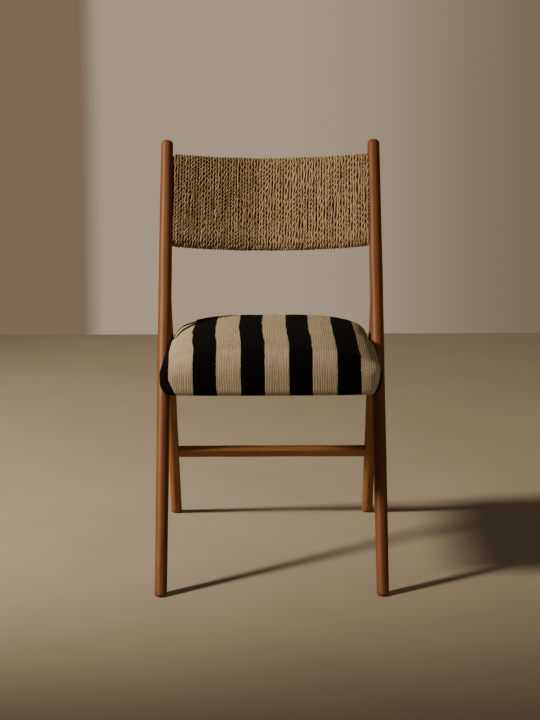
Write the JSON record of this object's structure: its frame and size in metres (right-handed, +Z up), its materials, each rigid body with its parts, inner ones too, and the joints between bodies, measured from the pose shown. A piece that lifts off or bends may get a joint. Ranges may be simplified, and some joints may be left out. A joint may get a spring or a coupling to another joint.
{
  "type": "side chair",
  "caption": "Armless wooden side chair with leaning round posts, forward-leaning rear legs, a padded striped seat and a curved back wound with twisted grass rope.",
  "frame": {"origin": "on the floor, at the centre of the chair's bounding box", "axes": "+Z up; the chair faces -Y; +X to the right of someone who looks along +Y"},
  "size_m": [0.4526, 0.644, 0.8389],
  "materials": {
    "post_wood": "oiled, hand rubbed",
    "leg_wood": "oiled, hand rubbed",
    "hidden_wood": "bare",
    "plug_wood": "oiled, flush",
    "back_rail_wood": "oiled",
    "grass_rope": "twisted grass, dry and slightly hairy",
    "striped_flatweave": "coarse wool flat-weave in black and cream stripes",
    "pad_foam": "open-cell foam",
    "webbing": "jute webbing",
    "black_lining": "thin black cambric",
    "steel": "dull zinc",
    "glide_plastic": "matt"
  },
  "bodies": {
    "root": {"left_post": "post_wood", "right_post": "post_wood", "left_rear_leg": "leg_wood", "right_rear_leg": "leg_wood", "rear_stretcher": "leg_wood", "leg_dowels": "hidden_wood", "frame_dowels": "hidden_wood", "seat_left_rail": "hidden_wood", "seat_right_rail": "hidden_wood", "seat_front_rail": "hidden_wood", "seat_rear_rail": "hidden_wood", "corner_blocks": "hidden_wood", "bolt_plugs": "plug_wood", "back_top_rail": "back_rail_wood", "back_bottom_rail": "back_rail_wood", "rope_winding": "grass_rope", "seat_cover": "striped_flatweave", "seat_foam": "pad_foam", "webbing_lengthwise": "webbing", "webbing_crosswise": "webbing", "dust_cover": "black_lining", "rope_tacks": "steel", "corner_block_screws": "steel", "webbing_tacks": "steel", "cover_tacks": "steel", "seat_bolts": "steel", "tee_nuts": "steel", "seat_spacers": "steel", "glide_nails": "steel", "front_glides": "glide_plastic", "rear_glides": "glide_plastic"}
  },
  "joints": []
}
